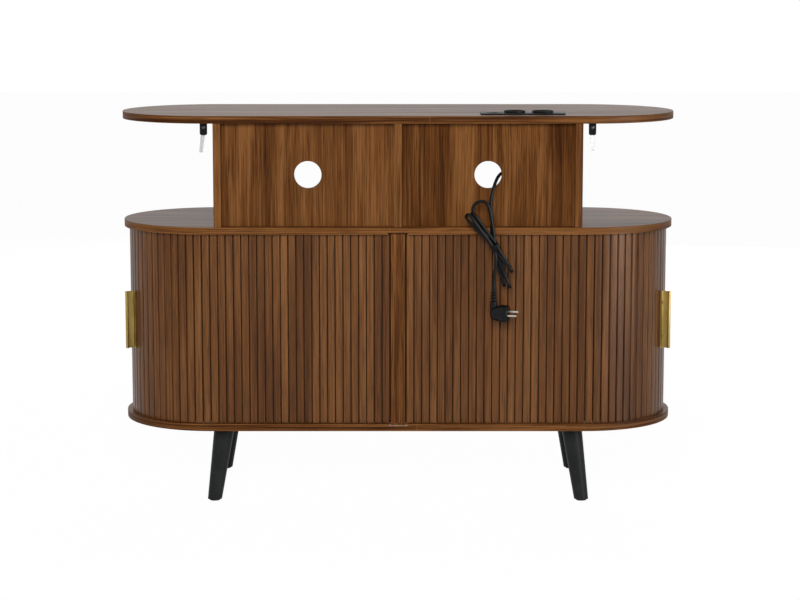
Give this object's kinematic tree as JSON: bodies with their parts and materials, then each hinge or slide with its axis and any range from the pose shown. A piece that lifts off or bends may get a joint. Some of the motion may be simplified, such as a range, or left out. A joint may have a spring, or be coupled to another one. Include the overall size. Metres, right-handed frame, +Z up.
{
  "type": "stereo cabinet",
  "caption": "Oval walnut stereo cabinet on splayed legs with an open hutch, wrap-round tambour doors, a power outlet in the top and a mains lead tied in a hank.",
  "frame": {"origin": "centre of the footprint, on the floor", "axes": "+Z up, +X along the cabinet's length to the right as seen from the front, front towards -Y"},
  "size_m": [1.1998, 0.4585, 0.8415],
  "materials": {
    "walnut_board": "satin walnut laminate",
    "walnut_slat": "satin walnut laminate slats",
    "walnut_panel": "satin walnut laminate",
    "beech": "raw",
    "black_lacquer": "satin black lacquer",
    "glide_plastic": "moulded",
    "brass": "brushed",
    "zinc": "zinc plated",
    "nickel": "nickel plated",
    "black_plastic": "fine texture",
    "cord_rubber": "smooth black",
    "clear_nylon": "translucent"
  },
  "bodies": {
    "cabinet": {"bottom_board": "walnut_board", "carcass_dowels": "beech", "cord_gland": "cord_rubber", "cord_hank": "cord_rubber", "cord_lead": "cord_rubber", "cord_tail": "cord_rubber", "cord_tie": "black_plastic", "foot_glides": "glide_plastic", "hutch_back_left": "walnut_board", "hutch_back_right": "walnut_board", "hutch_divider": "walnut_board", "hutch_side_left": "walnut_board", "hutch_side_right": "walnut_board", "inner_back_panel": "walnut_panel", "inner_divider": "walnut_panel", "inner_side_left": "walnut_panel", "inner_side_right": "walnut_panel", "leg_front_left": "black_lacquer", "leg_front_right": "black_lacquer", "leg_plate_screws": "zinc", "leg_plates": "zinc", "leg_rear_left": "black_lacquer", "leg_rear_right": "black_lacquer", "leg_studs": "zinc", "middle_board": "walnut_board", "outlet_bezel": "black_plastic", "outlet_housing": "black_plastic", "outlet_socket_a": "black_plastic", "outlet_socket_b": "black_plastic", "outlet_usb_module": "black_plastic", "plug_body": "cord_rubber", "plug_pins": "nickel", "rear_stop_strip": "walnut_slat", "shelf_left": "walnut_panel", "shelf_pins": "nickel", "shelf_right": "walnut_panel", "tip_brackets": "black_plastic", "tip_straps": "clear_nylon", "top_board": "walnut_board"},
    "left_door": {"left_door_arc_slats": "walnut_slat", "left_door_pull": "brass", "left_door_pull_screws": "brass"},
    "left_door_link_1": {"left_door_link_1": "walnut_slat"},
    "left_door_link_2": {"left_door_link_2": "walnut_slat"},
    "left_door_link_3": {"left_door_link_3": "walnut_slat"},
    "left_door_link_4": {"left_door_link_4": "walnut_slat"},
    "left_door_link_5": {"left_door_link_5": "walnut_slat"},
    "left_door_link_6": {"left_door_link_6": "walnut_slat"},
    "left_door_tail": {"left_door_tail_slats": "walnut_slat"},
    "right_door": {"right_door_arc_slats": "walnut_slat", "right_door_pull": "brass", "right_door_pull_screws": "brass"},
    "right_door_link_1": {"right_door_link_1": "walnut_slat"},
    "right_door_link_2": {"right_door_link_2": "walnut_slat"},
    "right_door_link_3": {"right_door_link_3": "walnut_slat"},
    "right_door_link_4": {"right_door_link_4": "walnut_slat"},
    "right_door_link_5": {"right_door_link_5": "walnut_slat"},
    "right_door_link_6": {"right_door_link_6": "walnut_slat"},
    "right_door_tail": {"right_door_tail_slats": "walnut_slat"}
  },
  "joints": [
    {"name": "left_door_travel", "type": "hinge", "parent": "cabinet", "child": "left_door", "pos_m": [-0.4, 0, 0.3795], "axis": [0, 0, 1], "range_deg": [0, 90]},
    {"name": "left_door_link_1_swing", "type": "hinge", "parent": "cabinet", "child": "left_door_link_1", "pos_m": [-0.38753, -0.01434, 0.3795], "axis": [0, 0, 1], "range_deg": [0, 82.06]},
    {"name": "left_door_link_2_swing", "type": "hinge", "parent": "cabinet", "child": "left_door_link_2", "pos_m": [-0.36258, -0.05743, 0.3795], "axis": [0, 0, 1], "range_deg": [0, 66.18]},
    {"name": "left_door_link_3_swing", "type": "hinge", "parent": "cabinet", "child": "left_door_link_3", "pos_m": [-0.33763, -0.13286, 0.3795], "axis": [0, 0, 1], "range_deg": [0, 50.3]},
    {"name": "left_door_link_4_swing", "type": "hinge", "parent": "cabinet", "child": "left_door_link_4", "pos_m": [-0.31268, -0.28198, 0.3795], "axis": [0, 0, 1], "range_deg": [0, 34.41]},
    {"name": "left_door_link_5_swing", "type": "hinge", "parent": "cabinet", "child": "left_door_link_5", "pos_m": [-0.28773, -0.68822, 0.3795], "axis": [0, 0, 1], "range_deg": [0, 18.53]},
    {"name": "left_door_link_6_swing", "type": "hinge", "parent": "cabinet", "child": "left_door_link_6", "pos_m": [-0.26694, -2.87795, 0.3795], "axis": [0, 0, 1], "range_deg": [0, 5.3]},
    {"name": "left_door_tail_slide", "type": "slide", "parent": "cabinet", "child": "left_door_tail", "axis": [-1, 0, 0], "range_m": [0, 0.28276]},
    {"name": "right_door_travel", "type": "hinge", "parent": "cabinet", "child": "right_door", "pos_m": [0.4, 0, 0.3795], "axis": [0, 0, -1], "range_deg": [0, 90]},
    {"name": "right_door_link_1_swing", "type": "hinge", "parent": "cabinet", "child": "right_door_link_1", "pos_m": [0.38753, -0.01434, 0.3795], "axis": [0, 0, -1], "range_deg": [0, 82.06]},
    {"name": "right_door_link_2_swing", "type": "hinge", "parent": "cabinet", "child": "right_door_link_2", "pos_m": [0.36258, -0.05743, 0.3795], "axis": [0, 0, -1], "range_deg": [0, 66.18]},
    {"name": "right_door_link_3_swing", "type": "hinge", "parent": "cabinet", "child": "right_door_link_3", "pos_m": [0.33763, -0.13286, 0.3795], "axis": [0, 0, -1], "range_deg": [0, 50.3]},
    {"name": "right_door_link_4_swing", "type": "hinge", "parent": "cabinet", "child": "right_door_link_4", "pos_m": [0.31268, -0.28198, 0.3795], "axis": [0, 0, -1], "range_deg": [0, 34.41]},
    {"name": "right_door_link_5_swing", "type": "hinge", "parent": "cabinet", "child": "right_door_link_5", "pos_m": [0.28773, -0.68822, 0.3795], "axis": [0, 0, -1], "range_deg": [0, 18.53]},
    {"name": "right_door_link_6_swing", "type": "hinge", "parent": "cabinet", "child": "right_door_link_6", "pos_m": [0.26694, -2.87795, 0.3795], "axis": [0, 0, -1], "range_deg": [0, 5.3]},
    {"name": "right_door_tail_slide", "type": "slide", "parent": "cabinet", "child": "right_door_tail", "axis": [1, 0, 0], "range_m": [0, 0.28276]}
  ],
  "couplings": [
    {"joint": "left_door_link_1_swing", "follows": "left_door_travel", "ratio": 0.91176},
    {"joint": "left_door_link_2_swing", "follows": "left_door_travel", "ratio": 0.73529},
    {"joint": "left_door_link_3_swing", "follows": "left_door_travel", "ratio": 0.55882},
    {"joint": "left_door_link_4_swing", "follows": "left_door_travel", "ratio": 0.38235},
    {"joint": "left_door_link_5_swing", "follows": "left_door_travel", "ratio": 0.20588},
    {"joint": "left_door_link_6_swing", "follows": "left_door_travel", "ratio": 0.058824},
    {"joint": "left_door_tail_slide", "follows": "left_door_travel", "m_per_rad": 0.18},
    {"joint": "right_door_link_1_swing", "follows": "right_door_travel", "ratio": 0.91176},
    {"joint": "right_door_link_2_swing", "follows": "right_door_travel", "ratio": 0.73529},
    {"joint": "right_door_link_3_swing", "follows": "right_door_travel", "ratio": 0.55882},
    {"joint": "right_door_link_4_swing", "follows": "right_door_travel", "ratio": 0.38235},
    {"joint": "right_door_link_5_swing", "follows": "right_door_travel", "ratio": 0.20588},
    {"joint": "right_door_link_6_swing", "follows": "right_door_travel", "ratio": 0.058824},
    {"joint": "right_door_tail_slide", "follows": "right_door_travel", "m_per_rad": 0.18}
  ]
}
